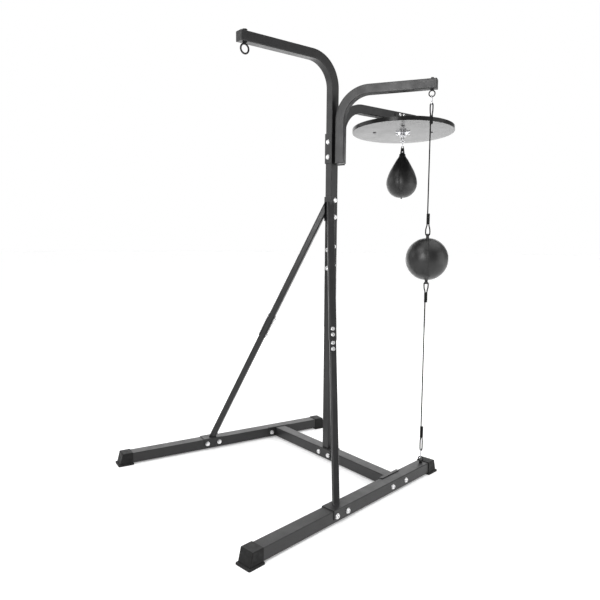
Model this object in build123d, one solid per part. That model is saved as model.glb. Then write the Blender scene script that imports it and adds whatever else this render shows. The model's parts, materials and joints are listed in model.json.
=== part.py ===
from build123d import *
import math
import os

# Punching bag stand, millimetres. Post axis on X = Y = 0 while modelling, front is -Y.
# The last step moves everything so that the origin is the bottom centre of the bounding box.

# tubes of the frame
TUBE = 45.0
TUBE_WALL = 2.0
TUBE_R = 4.0
BEND_R = 142.0
RAIL_W = 63.0
RAIL_H = 52.5
RAIL_Z = 7.0
RAIL_R = 4.0
SPLAY = 7.66
HALF_SPAN = 465.9
RAIL_FRONT = 902.0
RAIL_REAR = -298.0
BEAM_W = 61.0
BEAM_H = 51.4
BEAM_Z = 8.0
PLATE = 3.5

# heights on the post
RAIL_TOP = RAIL_Z + RAIL_H
BEAM_TOP = BEAM_Z + BEAM_H
POST_FOOT = BEAM_TOP + PLATE
POST_JOINT = 1066.0
SPLICE_HALF = 80.0
HEAD_Z = (1251.0, 1372.0)
BRACKET_Z = (1535.8, 1682.8)

# arms: centre line heights and reaches
FRONT_ARM_Z = 2040.7
FRONT_ARM_END = 546.0
FRONT_EYE_Y = -518.2
FRONT_EYE_Z = 1991.4
SIDE_ARM_Z = 1877.2
SIDE_FOOT = (56.3, 6.5)
SIDE_ARM_END = 459.6
REAR_ARM_Z = 1825.8
REAR_FOOT_Y = 48.5
REAR_ARM_END = 600.0

# double-end ball line
LINE_Y = 228.9
LINE_X = HALF_SPAN - math.tan(math.radians(SPLAY)) * LINE_Y
SIDE_TURN = math.degrees(math.atan2(LINE_Y - SIDE_FOOT[1], LINE_X - SIDE_FOOT[0]))
SIDE_EYE_Z = 1835.0
RAIL_EYE_Z = 80.0
BALL_Z = 1069.5
BALL_R = 100.3

# braces
BRACE_FOOT = (513.7, -406.5, RAIL_TOP + PLATE)
BRACE_HEAD = (29.0, -30.7, 1289.5)
BRACE_UPPER = (36.0, 31.0)
BRACE_LOWER = (31.5, 31.0)
BRACE_JOINT = 712.0
SADDLE_U = 414.8
SADDLE_LEN = 105.0

# speed bag board
BOARD_Y = 521.9
BOARD_R = 279.5
BOARD_Z = 1747.0
BOARD_T = 22.0
BAG_TURN = 42.0

# the board and its plate lean a little under the arm, about the swivel's ball
SWIVEL_BALL_Z = BOARD_Z - 13.0
LEAN = Pos(0, BOARD_Y, SWIVEL_BALL_Z) * Rot(-1.97, -2.6, 0) * Pos(0, -BOARD_Y, -SWIVEL_BALL_Z)


def rail_plane(u, v=0.0, z=0.0):
    # local X runs to the front along the right rail, local Y points outward, local Z is up
    s = math.radians(SPLAY)
    d = Vector(math.sin(s), -math.cos(s), 0)
    side = Vector(math.cos(s), math.sin(s), 0)
    return Plane(origin=Vector(HALF_SPAN, 0, 0) + d * u + side * v + Vector(0, 0, z), x_dir=d, z_dir=(0, 0, 1))


def line_plane(z):
    # vertical line of the double-end ball, local X along the side arm
    return Plane(origin=(LINE_X, LINE_Y, z), x_dir=turned(SIDE_TURN), z_dir=(0, 0, 1))


def bag_plane(z):
    return Plane(origin=(0, BOARD_Y, z), x_dir=turned(BAG_TURN), z_dir=(0, 0, 1))


def turned(deg):
    a = math.radians(deg)
    return (math.cos(a), math.sin(a), 0)


def box(x0, x1, y0, y1, z0, z1):
    return Pos((x0 + x1) / 2, (y0 + y1) / 2, (z0 + z1) / 2) * Box(x1 - x0, y1 - y0, z1 - z0)


def rod(r, z0, z1):
    return Pos(0, 0, (z0 + z1) / 2) * Cylinder(r, z1 - z0)


def hexagon(across, z0, z1):
    return Pos(0, 0, z0) * extrude(RegularPolygon(across / math.sqrt(3), 6), amount=z1 - z0)


def section(w, h, r, wall):
    return RectangleRounded(w, h, r) - RectangleRounded(w - 2 * wall, h - 2 * wall, max(r - wall, 0.6))


def straight_tube(plane, length, w, h, r, wall):
    return plane * extrude(section(w, h, r, wall), amount=length)


def group(parts):
    solids = []
    for p in parts:
        solids += p.solids()
    return solids


def mirrored(part):
    return mirror(part, about=Plane.YZ)


def mirrored_group(parts):
    return [mirrored(p) for p in parts]


# ---------------------------------------------------------------- fasteners

def bolt_set(plane, grip, shank_r, head_r, head_h, washer_r, washer_t, nut_across, nut_h):
    """Local Z points away from the head side; the gripped stack lies in -grip..0."""
    tail = -grip - washer_t - nut_h - 1.5 if nut_h else -grip
    head = rod(head_r, washer_t, washer_t + head_h)
    head = fillet(head.edges().filter_by(GeomType.CIRCLE).group_by(Axis.Z)[-1], head_h * 0.72)
    head -= hexagon(head_r * 0.62, washer_t + head_h * 0.35, washer_t + head_h + 1)
    bolt = head + rod(shank_r, tail, washer_t)
    shank = rod(shank_r, tail - 5, washer_t + 1)
    washers = [rod(washer_r, 0, washer_t) - shank]
    nuts = []
    if nut_h:
        washers.append(rod(washer_r, -grip - washer_t, -grip) - shank)
        nuts.append(hexagon(nut_across, -grip - washer_t - nut_h, -grip - washer_t) - shank)
    return {
        "bolt": [plane * bolt],
        "washer": [plane * w for w in washers],
        "nut": [plane * n for n in nuts],
        "hole": [plane * shank],
    }


def m10(plane, grip, nut=True):
    return bolt_set(plane, grip, 5.0, 10.5, 5.5, 12.0, 2.0, 17.0, 8.0 if nut else 0.0)


def m8(plane, grip):
    return bolt_set(plane, grip, 4.0, 8.5, 4.5, 9.5, 1.6, 13.0, 6.5)


def merged(sets):
    out = {"bolt": [], "washer": [], "nut": [], "hole": []}
    for s in sets:
        for key in out:
            out[key] += s[key]
    return out


def mirrored_set(s):
    return {key: mirrored_group(s[key]) for key in s}


def drilled(part, holes):
    for h in holes:
        part = part - h
    return part


# ---------------------------------------------------------------- base

def rail():
    length = RAIL_FRONT - RAIL_REAR
    tube = extrude(section(RAIL_W, RAIL_H, RAIL_R, TUBE_WALL), amount=length)
    base = rail_plane(RAIL_REAR, 0, RAIL_Z + RAIL_H / 2)
    return Plane(origin=base.origin, x_dir=base.y_dir, z_dir=base.x_dir) * tube


def foot_boot():
    # local X runs out of the rail end, X = 0 at the mouth of the boot
    profile = Polyline((0, 8), (0, RAIL_TOP + 3), (52, RAIL_TOP + 3), (66, 8), (0, 8))
    body = extrude(make_face(Plane.XZ * profile), amount=34.5, both=True)
    body = fillet(body.edges().filter_by(Axis.Y).group_by(Axis.Z)[-1].sort_by(Axis.X)[-1], 4)
    body = fillet(body.edges().filter_by(Axis.X).group_by(Axis.Z)[-1], 4)
    flange = Pos(35, 0, 4) * Box(78, 79, 8)
    flange = fillet(flange.edges().filter_by(Axis.Z), 6)
    flange = fillet(flange.edges().group_by(Axis.Z)[-1], 2.5)
    return body + flange


def boots(rail_envelope):
    front = rail_plane(RAIL_FRONT - 46) * foot_boot() - rail_envelope
    p = rail_plane(RAIL_REAR + 46)
    back = Plane(origin=p.origin, x_dir=-p.x_dir, z_dir=(0, 0, 1)) * foot_boot() - rail_envelope
    return front, back


def rail_envelope():
    solid = extrude(RectangleRounded(RAIL_W, RAIL_H, RAIL_R), amount=RAIL_FRONT - RAIL_REAR)
    base = rail_plane(RAIL_REAR, 0, RAIL_Z + RAIL_H / 2)
    return Plane(origin=base.origin, x_dir=base.y_dir, z_dir=base.x_dir) * solid


def saddle(width, length, drop):
    # U-shaped plate over a tube, local Z = 0 on the tube top, local X along the tube
    outer = box(-length / 2, length / 2, -width / 2 - PLATE, width / 2 + PLATE, -drop, PLATE)
    outer = fillet(outer.edges().filter_by(Axis.X).group_by(Axis.Z)[-1], 3.0)
    return outer - box(-length, length, -width / 2, width / 2, -drop - 1, 0)


def beam_bracket():
    leg = box(-70, 66, -RAIL_W / 2 - 4, -RAIL_W / 2, 9, RAIL_TOP + PLATE)
    top = box(-70, 66, -RAIL_W / 2 - 4, -RAIL_W / 2 + 13, RAIL_TOP, RAIL_TOP + PLATE)
    both = leg + top
    both = fillet(both.edges().filter_by(Axis.X).group_by(Axis.Z)[-1].sort_by(Axis.Y)[0], 2.5)
    return rail_plane(0) * both


def beam():
    tube = extrude(section(BEAM_W, BEAM_H, RAIL_R, TUBE_WALL), amount=1000)
    tube = Plane(origin=(-500, 0, BEAM_Z + BEAM_H / 2), x_dir=(0, 1, 0), z_dir=(1, 0, 0)) * tube
    beyond = rail_plane(0) * box(-300, 300, -RAIL_W / 2 - 4, 200, -50, 150)
    return tube - beyond - mirrored(beyond)


def base_bolts():
    right = []
    for du in (-34.3, 34.3):
        p = rail_plane(SADDLE_U + du, RAIL_W / 2 + PLATE, 35.5)
        right.append(m10(Plane(origin=p.origin, x_dir=p.x_dir, z_dir=p.y_dir), RAIL_W + 2 * PLATE))
    for u in (-54.0, 50.0):
        p = rail_plane(u, RAIL_W / 2, 33.5)
        right.append(m10(Plane(origin=p.origin, x_dir=p.x_dir, z_dir=p.y_dir), RAIL_W + 4))
    right = merged(right)
    centre = []
    for x in (-37.0, 37.0):
        p = Plane(origin=(x, -BEAM_W / 2 - PLATE, 34.5), x_dir=(1, 0, 0), z_dir=(0, -1, 0))
        centre.append(m10(p, BEAM_W + 2 * PLATE))
    return right, mirrored_set(right), merged(centre)


# ---------------------------------------------------------------- post and arms

def bent_arm(foot_x, foot_y, z0, z_arm, turn, reach):
    """Square tube: up from z0, a quarter bend, then level to `reach` along the turned direction."""
    d = Vector(*turned(turn))
    foot = Vector(foot_x, foot_y, z0)
    bend = Vector(foot_x, foot_y, z_arm - BEND_R)
    over = bend + d * BEND_R + Vector(0, 0, BEND_R)
    tip = foot + d * reach + Vector(0, 0, z_arm - z0)
    up = Line(foot, bend)
    turn_arc = TangentArc(bend, over, tangent=(0, 0, 1))
    level = Line(over, tip)
    path = up + turn_arc + level
    start = Plane(origin=foot, x_dir=d, z_dir=(0, 0, 1))
    outer = sweep(start * RectangleRounded(TUBE, TUBE, TUBE_R), path=path)
    inner_r = TUBE_R - TUBE_WALL
    inner = sweep(start * RectangleRounded(TUBE - 2 * TUBE_WALL, TUBE - 2 * TUBE_WALL, inner_r), path=path)
    return outer - inner


def end_cap(plane):
    # plane at the tube end, local Z pointing out of the tube
    lid = extrude(RectangleRounded(TUBE, TUBE, TUBE_R), amount=3.0)
    lid = fillet(lid.edges().group_by(Axis.Z)[-1], 1.2)
    plug = Pos(0, 0, -16) * extrude(RectangleRounded(TUBE - 4.4, TUBE - 4.4, 2.9), amount=16)
    return plane * (lid + plug)


def ring(mean_r, bar_r):
    # ring in the local XZ plane
    return Rot(90, 0, 0) * Torus(mean_r, bar_r)


def eye_bolt(plane, ring_r, bar_r, shank_r, up_to, collar_r, collar_from, collar_to):
    """Ring around the plane origin, shank upwards, collar against the arm."""
    body = ring(ring_r, bar_r) + rod(shank_r, ring_r, up_to) + rod(collar_r, collar_from, collar_to)
    return plane * body


def post_bolts():
    front = Plane(origin=(0, -TUBE / 2, 0), x_dir=(1, 0, 0), z_dir=(0, -1, 0))
    side = Plane(origin=(TUBE / 2, 0, 0), x_dir=(0, 1, 0), z_dir=(1, 0, 0))
    splice = []
    for z in (1011.9, 1105.3):
        splice.append(m10(front.shift_origin((0, -TUBE / 2, z)), TUBE))
    for z in (1027.6, 1122.1):
        splice.append(m10(side.shift_origin((TUBE / 2, 0, z)), TUBE))
    head = []
    for z in (1270.2, 1354.2):
        head.append(m10(side.offset(PLATE).shift_origin((TUBE / 2 + PLATE, 1.5, z)), TUBE + 2 * PLATE))
    clamp = []
    for z in (1567.3, 1640.8):
        clamp.append(m10(front.offset(PLATE).shift_origin((0, -TUBE / 2 - PLATE, z)), TUBE + 2 * PLATE, nut=False))
    return merged(splice), merged(head), merged(clamp)


def head_bracket():
    a = TUBE / 2
    z0, z1 = HEAD_Z
    outer = box(-a - PLATE, a + PLATE, -a - PLATE, 18, z0, z1)
    outer = fillet(outer.edges().filter_by(Axis.Z).group_by(Axis.Y)[0], 3.0)
    return outer - box(-a, a, -a, 30, z0 - 1, z1 + 1)


def arm_bracket():
    a = TUBE / 2
    z0, z1 = BRACKET_Z
    outer = box(-a - PLATE, a + PLATE, -a - PLATE, a + PLATE, z0, z1)
    outer = fillet(outer.edges().filter_by(Axis.Z).group_by(Axis.Y)[0], 3.0)
    return outer - box(-a, a, -a, a, z0 - 1, z1 + 1)


# ---------------------------------------------------------------- braces

def brace_frame():
    foot = Vector(*BRACE_FOOT)
    axis = (Vector(*BRACE_HEAD) - foot).normalized()
    side = Vector(0, 0, 1).cross(axis).normalized()
    return foot, axis, side


def brace_tube(start, end, size):
    foot, axis, side = brace_frame()
    plane = Plane(origin=foot + axis * start, x_dir=side, z_dir=axis)
    return straight_tube(plane, end - start, size[0], size[1], 7.0, 1.8)


def brace_upper():
    tube = brace_tube(BRACE_JOINT, 1480, BRACE_UPPER)
    a = TUBE / 2 + PLATE
    foot, axis, side = brace_frame()
    plan = Vector(axis.X, axis.Y, 0).normalized()
    corner = Vector(a, -a, 0) + plan * 6
    stop = Plane(origin=corner, x_dir=(0, 0, 1), z_dir=plan) * box(900, 1900, -200, 200, 0, 400)
    return tube - stop - box(-a, a, -a, a, 1100, 1500)


def brace_lower():
    tube = brace_tube(-60, BRACE_JOINT, BRACE_LOWER)
    return tube - box(300, 700, -600, -200, -100, BRACE_FOOT[2])


def splice_parts():
    foot, axis, side = brace_frame()
    out = side.cross(axis) * -1
    if out.Z < 0:
        out = out * -1
    half = BRACE_UPPER[1] / 2
    mid = foot + axis * BRACE_JOINT
    plates = []
    for n in (out, out * -1):
        p = Plane(origin=mid + n * half, x_dir=axis, z_dir=n)
        plate = extrude(RectangleRounded(132, 29, 5), amount=2.5)
        plates.append(p * plate)
    sets = []
    for t in (-48.0, -19.5, 19.5, 48.0):
        p = Plane(origin=mid + axis * t + out * (half + 2.5), x_dir=axis, z_dir=out)
        sets.append(m8(p, BRACE_UPPER[1] + 5.0))
    return plates, merged(sets)


# ---------------------------------------------------------------- board and swivel

def board():
    disc = Pos(0, BOARD_Y, BOARD_Z + BOARD_T / 2) * Cylinder(BOARD_R, BOARD_T)
    return LEAN * fillet(disc.edges().filter_by(GeomType.CIRCLE), 2.0)


def board_hanger():
    z0 = BOARD_Z + BOARD_T
    a = TUBE / 2
    plate = box(-122, 122, BOARD_Y - 135, BOARD_Y + 135, z0, z0 + 4)
    plate = LEAN * fillet(plate.edges().filter_by(Axis.Z), 18)
    below = LEAN * box(-300, 300, BOARD_Y - 300, BOARD_Y + 300, z0 - 60, z0)
    for x in (-a - 4, a):
        plate += box(x, x + 4, BOARD_Y - 92, BOARD_Y + 72, z0 - 14, REAR_ARM_Z + 15)
    return plate - below


def hanger_bolts():
    sets = []
    for y in (464.0, 493.5):
        p = Plane(origin=(TUBE / 2 + 4, y, 1831.0), x_dir=(0, 1, 0), z_dir=(1, 0, 0))
        sets.append(m8(p, TUBE + 8))
    return merged(sets)


def board_bolts():
    # carriage bolts from below, nuts on the hanger plate
    bolts = []
    nuts = []
    holes = []
    top = BOARD_Z + BOARD_T + 4
    for x in (-104.0, 104.0):
        for y in (-117.0, 117.0):
            head = Pos(0, 0, -1.5) * Cylinder(9.0, 3.0)
            head = fillet(head.edges().filter_by(GeomType.CIRCLE).group_by(Axis.Z)[0], 2.4)
            at = LEAN * Pos(x, BOARD_Y + y, BOARD_Z)
            bolts.append(at * (head + rod(4.0, 0, top - BOARD_Z + 9.0)))
            holes.append(at * rod(4.0, 0, 60))
            nuts.append(LEAN * Pos(x, BOARD_Y + y, top) * (hexagon(13, 0, 6.5) - rod(4.0, -1, 10)))
    return bolts, nuts, holes


def lobed_plate(reach, lobe_r, hub_r, t):
    plate = rod(hub_r, -t, 0)
    for k in range(4):
        arm = box(0, reach - lobe_r, -lobe_r, lobe_r, -t, 0) + Pos(reach - lobe_r, 0, 0) * rod(lobe_r, -t, 0)
        plate += Rot(0, 0, 45 + 90 * k) * arm
    return plate


def swivel():
    hung = bag_plane(BOARD_Z)
    at = LEAN * hung.location
    base = lobed_plate(51.0, 10.5, 27.0, 3.0)
    base_screws = []
    for k in range(4):
        spot = Rot(0, 0, 45 + 90 * k) * Pos(40, 0, 0)
        screw = Pos(0, 0, -5.0) * Cylinder(5.5, 4.0)
        screw = fillet(screw.edges().filter_by(GeomType.CIRCLE).group_by(Axis.Z)[0], 2.8)
        base_screws.append(spot * (screw + rod(2.5, -3.0, 16.0)))
    shafts = [Rot(0, 0, 45 + 90 * k) * Pos(40, 0, 0) * rod(2.5, -10, 16.0) for k in range(4)]
    base = drilled(base, shafts)
    housing = rod(15.0, -15.0, -3.0)
    housing = fillet(housing.edges().filter_by(GeomType.CIRCLE).group_by(Axis.Z)[-1], 1.0)
    housing -= Pos(0, 0, -13.0) * Sphere(8.3)
    housing -= rod(7.0, -16, -13)
    keeper = lobed_plate(26.5, 6.0, 15.0, 3.0)
    keeper_screws = []
    for k in range(4):
        spot = Rot(0, 0, 45 + 90 * k) * Pos(16.5, 0, 0)
        keeper_screws.append(spot * (hexagon(8.0, -21.5, -18.0) + rod(2.0, -18.0, -3.0)))
    keeper_shafts = [Rot(0, 0, 45 + 90 * k) * Pos(16.5, 0, 0) * rod(2.0, -18.0, -3.0) for k in range(4)]
    keeper = Pos(0, 0, -15) * keeper
    keeper -= Pos(0, 0, -13.0) * Sphere(8.3)
    keeper -= rod(7.0, -30, -10)
    keeper = drilled(keeper, keeper_shafts)
    housing = drilled(housing, keeper_shafts)
    hook = Pos(0, 0, -13.0) * Sphere(7.9)
    hook += rod(4.5, -36.0, -13.0)
    hook += Pos(0, 0, -44.0) * ring(8.5, 2.5)
    return {
        "base": at * base,
        "base_screws": [at * s for s in base_screws],
        "base_holes": [at * s for s in shafts],
        "housing": at * housing,
        "keeper": at * keeper,
        "keeper_screws": [at * s for s in keeper_screws],
        "hook": hung * hook,
    }


# ---------------------------------------------------------------- speed bag

BAG_HINGE_Z = BOARD_Z - 52.5
BAG_TOP = 1624.0
TAB_EYE_Z = BAG_HINGE_Z - 27.2
BAG_LOW = 1390.0
BAG_PROFILE = [(31.5, 1395.0), (55.5, 1408.5), (74.0, 1431.0), (84.0, 1465.0), (79.8, 1499.5), (65.3, 1537.0)]
BAG_PROFILE += [(47.6, 1570.0), (31.2, 1598.0), (20.0, 1614.0)]


def bag_solid(inset):
    pts = [(0.0, BAG_LOW + inset)]
    for r, z in BAG_PROFILE:
        pts.append((r - inset, z))
    pts[1] = (BAG_PROFILE[0][0] - inset * 0.6, BAG_PROFILE[0][1] + inset * 0.8)
    pts.append((16.0 - inset, BAG_TOP - inset))
    curve = Spline(*[(r, 0, z) for r, z in pts], tangents=((1, 0, 0), (-0.25, 0, 1)))
    top = Line(curve @ 1, (0, 0, BAG_TOP - inset))
    axis = Line((0, 0, BAG_TOP - inset), (0, 0, pts[0][1]))
    return revolve(make_face(Wire([curve.edge(), top.edge(), axis.edge()])), Axis.Z, 360)


def speed_bag():
    at = bag_plane(0)
    outer = bag_solid(0.0)
    middle = bag_solid(2.6)
    inner = bag_solid(3.8)
    collar = rod(17.0, BAG_TOP, BAG_TOP + 7)
    collar = fillet(collar.edges().filter_by(GeomType.CIRCLE).group_by(Axis.Z)[-1], 3)
    tab = extrude(Plane.XZ * make_face(tab_outline()), amount=2.4, both=True)
    tab -= Pos(0, 0, TAB_EYE_Z) * Rot(90, 0, 0) * Cylinder(4.6, 30)
    tab -= Pos(0, 0, 1641.5) * Rot(90, 0, 0) * Cylinder(2.6, 30)
    eyelet = Pos(0, 0, 1641.5) * Rot(90, 0, 0) * (Cylinder(2.6, 6.4) - Cylinder(1.3, 12))
    for side in (-1, 1):
        eyelet += Pos(0, side * 2.9, 1641.5) * Rot(90, 0, 0) * (Cylinder(4.4, 1.0) - Cylinder(1.3, 2))
    valve = Pos(0, 0, BAG_LOW - 2.6) * Cylinder(4.0, 5.2)
    valve = fillet(valve.edges().filter_by(GeomType.CIRCLE).group_by(Axis.Z)[0], 1.5)
    shell = outer - middle - valve
    bladder = middle - inner - valve
    link = oval_ring(34.0, 14.0, 1.9)
    link = Pos(0, 0, BAG_HINGE_Z) * link
    return {
        "shell": at * shell,
        "bladder": at * bladder,
        "collar": at * collar,
        "tab": at * tab,
        "eyelet": at * eyelet,
        "valve": at * valve,
        "link": at * link,
    }


def tab_outline():
    left = Line((-12.5, BAG_TOP + 7), (-7.5, TAB_EYE_Z))
    arc = ThreePointArc((-7.5, TAB_EYE_Z), (0, TAB_EYE_Z + 7.5), (7.5, TAB_EYE_Z))
    right = Line((7.5, TAB_EYE_Z), (12.5, BAG_TOP + 7))
    close = Line((12.5, BAG_TOP + 7), (-12.5, BAG_TOP + 7))
    return left + arc + right + close


def oval_ring(length, width, bar_r):
    """Stadium link in the local YZ plane; its top bar passes 0.4 mm over a bar of radius 2.5 at the origin."""
    r = width / 2 - bar_r
    top = 2.5 + 0.4 + bar_r
    straight = length - width
    y = r
    z1 = top - r
    z0 = z1 - straight
    path = Line((0, y, z0), (0, y, z1)) + ThreePointArc((0, y, z1), (0, 0, top), (0, -y, z1))
    path += Line((0, -y, z1), (0, -y, z0))
    path += ThreePointArc((0, -y, z0), (0, 0, z0 - r), (0, y, z0))
    start = Plane(origin=(0, y, z0), x_dir=(1, 0, 0), z_dir=(0, 0, 1))
    return sweep(start * Circle(bar_r), path=path)


# ---------------------------------------------------------------- double-end ball

EYE_BAR = 2.7
SIDE_RING_R = 13.8
RAIL_RING_R = 11.4
HOOK_BAR = 2.0
TOP_PIVOT = SIDE_EYE_Z - SIDE_RING_R
LOW_PIVOT = RAIL_EYE_Z + RAIL_RING_R
HOOK_LEN = 46.0
HOOK_W = 18.0
CORD_R = 2.9
SLEEVE_WALL = 1.8
LUG_W = 14.0
LOOP_W = 10.0


def carabiner(up):
    """Stadium hook in the local YZ plane hanging from an eye bar at the origin; `up` = -1 turns it over."""
    r = HOOK_W / 2 - HOOK_BAR
    top = EYE_BAR + 0.4 + HOOK_BAR
    z1 = top - r
    z0 = z1 - (HOOK_LEN - HOOK_W)
    ga = z0 + 4
    gb = z1 - 4
    path = Line((0, r, gb), (0, r, z1)) + ThreePointArc((0, r, z1), (0, 0, top), (0, -r, z1))
    path += Line((0, -r, z1), (0, -r, z0))
    path += ThreePointArc((0, -r, z0), (0, 0, z0 - r), (0, r, z0))
    path += Line((0, r, z0), (0, r, ga))
    start = Plane(origin=(0, r, gb), x_dir=(1, 0, 0), z_dir=(0, 0, 1))
    body = sweep(start * Circle(HOOK_BAR), path=path)
    gate = Pos(0, r, (ga + gb) / 2) * Cylinder(HOOK_BAR + 0.5, gb - ga)
    flip = Rot(180, 0, 0) if up < 0 else Rot(0, 0, 0)
    return flip * body, flip * gate


HOOK_FAR = HOOK_LEN - 3 * HOOK_BAR - EYE_BAR - 0.4


def swept_cord(points, radius):
    path = FilletPolyline(*points, radius=radius)
    start = Plane(origin=path @ 0, z_dir=path % 0)
    return sweep(start * Circle(CORD_R), path=path)


def sleeve(z0, z1, spread):
    """Crimp sleeve round two strands that lie `spread` either side of the line."""
    w = 2 * (spread + CORD_R + SLEEVE_WALL)
    body = Pos(0, 0, z0) * extrude(SlotOverall(w, 2 * CORD_R + 2 * SLEEVE_WALL), amount=z1 - z0)
    return fillet(body.edges().group_by(Axis.Z)[0] + body.edges().group_by(Axis.Z)[-1], 0.6)


def lug(flip):
    """Folded leather strap on the ball, hole along local X, foot at local Z = 0, opening upwards if not flipped."""
    outer = extrude(Plane.YZ * (Pos(0, 7.5) * Rectangle(13, 15) + Pos(0, 15) * Circle(6.5)), amount=LUG_W / 2, both=True)
    hole = Pos(0, 0, 14.5) * Rot(0, 90, 0) * Cylinder(4.2, 60)
    body = outer - hole
    return Rot(180, 0, 0) * body if flip else body


def double_end():
    top = line_plane(TOP_PIVOT)
    low = line_plane(LOW_PIVOT)
    line = line_plane(0)
    up_body, up_gate = carabiner(1)
    lo_body, lo_gate = carabiner(-1)

    s = CORD_R + 0.1
    lug_top = BALL_Z + BALL_R - 1.5
    lug_low = BALL_Z - BALL_R + 1.5
    hang = TOP_PIVOT - HOOK_FAR + HOOK_BAR + CORD_R + 0.4
    hole_top = lug_top + 14.5
    hole_low = lug_low - 14.5
    seat = LOW_PIVOT + HOOK_FAR - HOOK_BAR - CORD_R - 0.4

    upper = [(s, 0, 1697), (s, 0, 1737), (6.2, 0, 1758), (6.2, 0, hang), (-6.2, 0, hang), (-6.2, 0, 1758)]
    upper += [(-s, 0, 1737), (-s, 0, 1233), (-LOOP_W, 0, 1210), (-LOOP_W, 0, hole_top), (LOOP_W, 0, hole_top)]
    upper += [(LOOP_W, 0, 1210), (s, 0, 1233), (s, 0, 1285)]
    upper_cord = swept_cord(upper, 4.5)
    upper_sleeves = [sleeve(1698, 1737, s), sleeve(1234, 1284, s)]
    upper_sleeves = [b - upper_cord for b in upper_sleeves]

    loop = [(s, 0, 878), (s, 0, 909), (LOOP_W, 0, 934), (LOOP_W, 0, hole_low), (-LOOP_W, 0, hole_low), (-LOOP_W, 0, 934)]
    loop += [(-s, 0, 909), (-s, 0, 893)]
    loop_cord = swept_cord(loop, 4.5)
    loop_sleeve = sleeve(861.6, 909.8, s) - loop_cord
    bore = Pos(-s, 0, 0) * (rod(CORD_R + 0.3, 850, 892.5) + rod(CORD_R + 1.3, 850, 876.5))
    loop_sleeve = loop_sleeve - bore
    gripped_end = Pos(-s, 0, 0) * rod(CORD_R, 877, 889)

    lower = [(-s, 0, 875.1), (-s, 0, 187), (-5.2, 0, 170), (-5.2, 0, seat), (5.2, 0, seat), (5.2, 0, 170), (s, 0, 187)]
    lower += [(s, 0, 245)]
    lower_cord = swept_cord(lower, 4.5)
    lower_sleeve = sleeve(188, 244, s) - lower_cord

    ball = Pos(0, 0, BALL_Z) * Sphere(BALL_R)
    mid = Pos(0, 0, BALL_Z) * Sphere(BALL_R - 3.0)
    core = Pos(0, 0, BALL_Z) * Sphere(BALL_R - 4.5)
    a = math.radians(40)
    valve_dir = Vector(math.sin(a) * math.cos(math.radians(-70)), math.sin(a) * math.sin(math.radians(-70)), 0)
    valve_dir = (valve_dir - Vector(0, 0, math.cos(a))).normalized()
    vp = Plane(origin=Vector(0, 0, BALL_Z) + valve_dir * (BALL_R - 6.5), z_dir=valve_dir)
    valve = vp * (rod(3.5, 0, 6.8) - rod(1.2, 3, 8))
    pocket = vp * rod(3.5, 0, 8)
    shell = ball - mid - pocket
    bladder = mid - core - pocket
    lug_t = (Pos(0, 0, lug_top) * lug(False)) - ball
    lug_b = (Pos(0, 0, lug_low) * lug(True)) - ball
    return {
        "upper_hook": top * up_body,
        "upper_gate": top * up_gate,
        "lower_hook": low * lo_body,
        "lower_gate": low * lo_gate,
        "upper_cord": line * upper_cord,
        "upper_sleeves": [line * b for b in upper_sleeves],
        "ball_loop": [line * loop_cord, line * gripped_end],
        "ball_loop_sleeve": line * loop_sleeve,
        "lower_cord": line * lower_cord,
        "lower_sleeve": line * lower_sleeve,
        "shell": line * shell,
        "bladder": line * bladder,
        "valve": line * valve,
        "lug_top": line * lug_t,
        "lug_bottom": line * lug_b,
    }


# ---------------------------------------------------------------- assembly

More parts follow.
